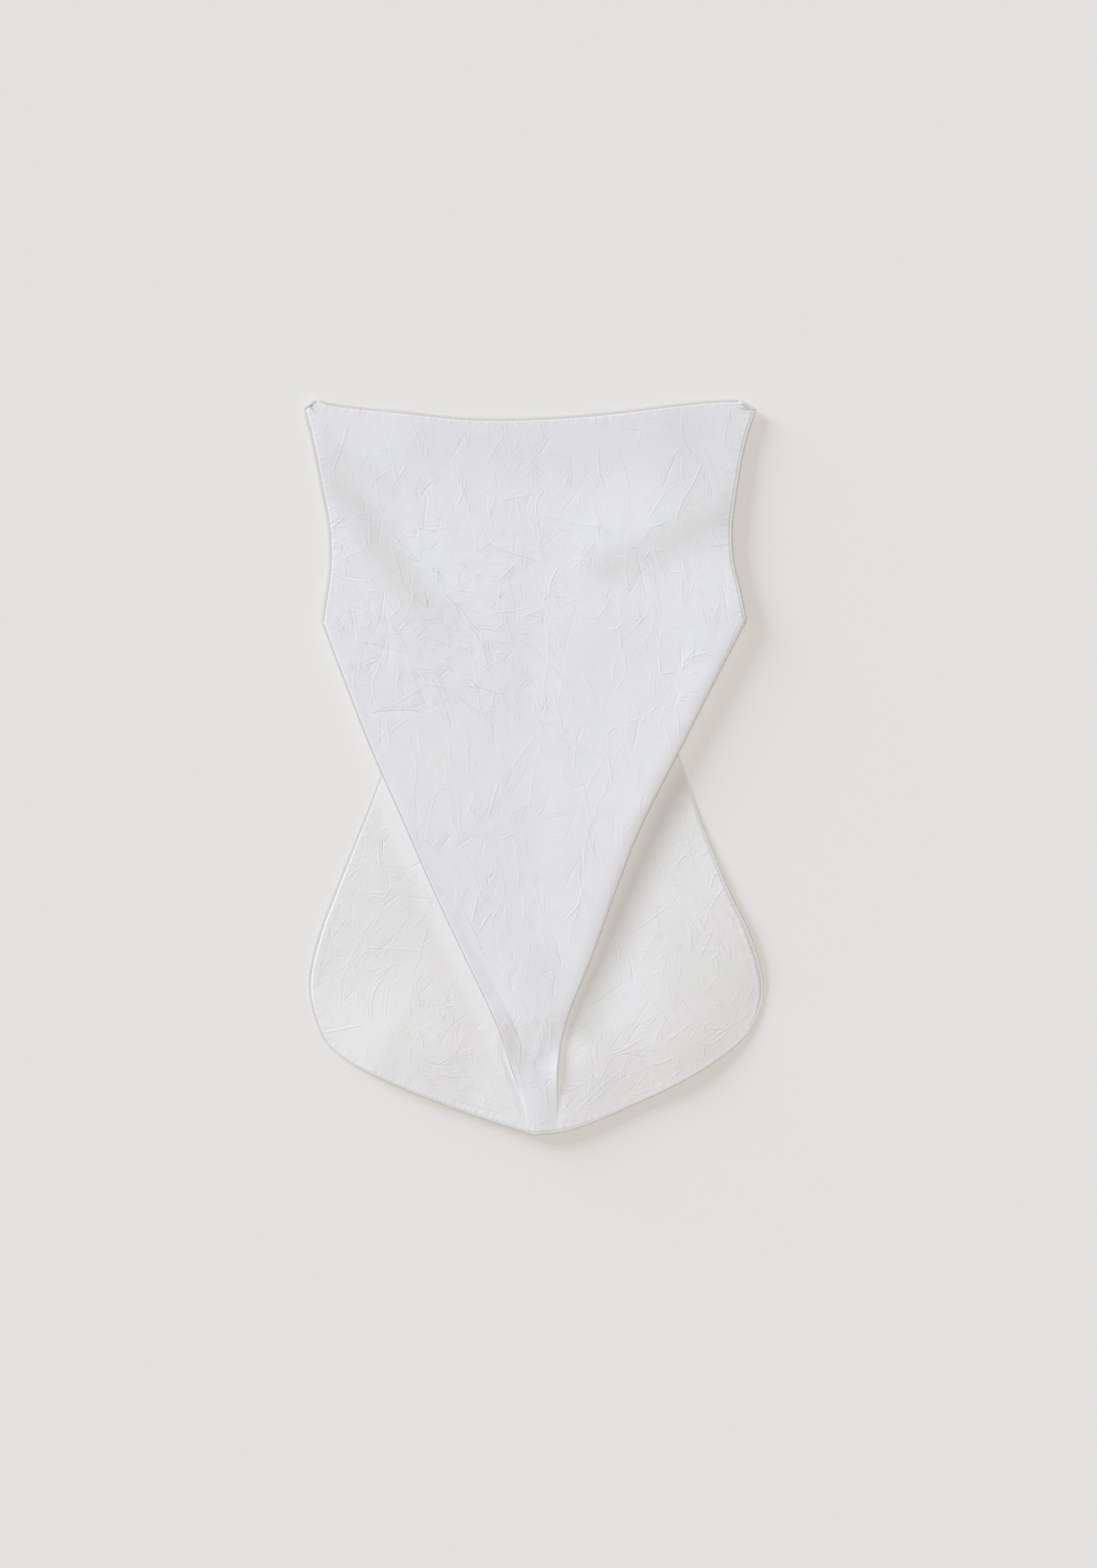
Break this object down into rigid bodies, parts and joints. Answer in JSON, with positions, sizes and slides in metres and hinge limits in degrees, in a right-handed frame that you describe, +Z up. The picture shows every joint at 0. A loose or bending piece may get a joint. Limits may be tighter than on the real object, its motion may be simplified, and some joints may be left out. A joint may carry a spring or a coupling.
{
  "type": "backless top",
  "caption": "White crinkled cotton top laid flat, its sides folded under into two flared tails, with open armholes and an open back.",
  "frame": {"origin": "on the surface that the garment lies on, under the middle of its outline", "axes": "+Z up out of the surface, +Y toward the neckline, +X toward the wearer's left side, which is the picture's right"},
  "size_m": [0.4155, 0.6637, 0.0127],
  "materials": {
    "cloth": "matte crinkled cotton",
    "hem": "matte cotton, narrow stitched hem"
  },
  "bodies": {
    "root": {"body": "cloth", "neck_hem": "hem", "armhole_hem_right": "hem", "armhole_hem_left": "hem", "outer_hem": "hem", "shoulder_seam_right": "hem", "shoulder_seam_left": "hem"}
  },
  "joints": []
}
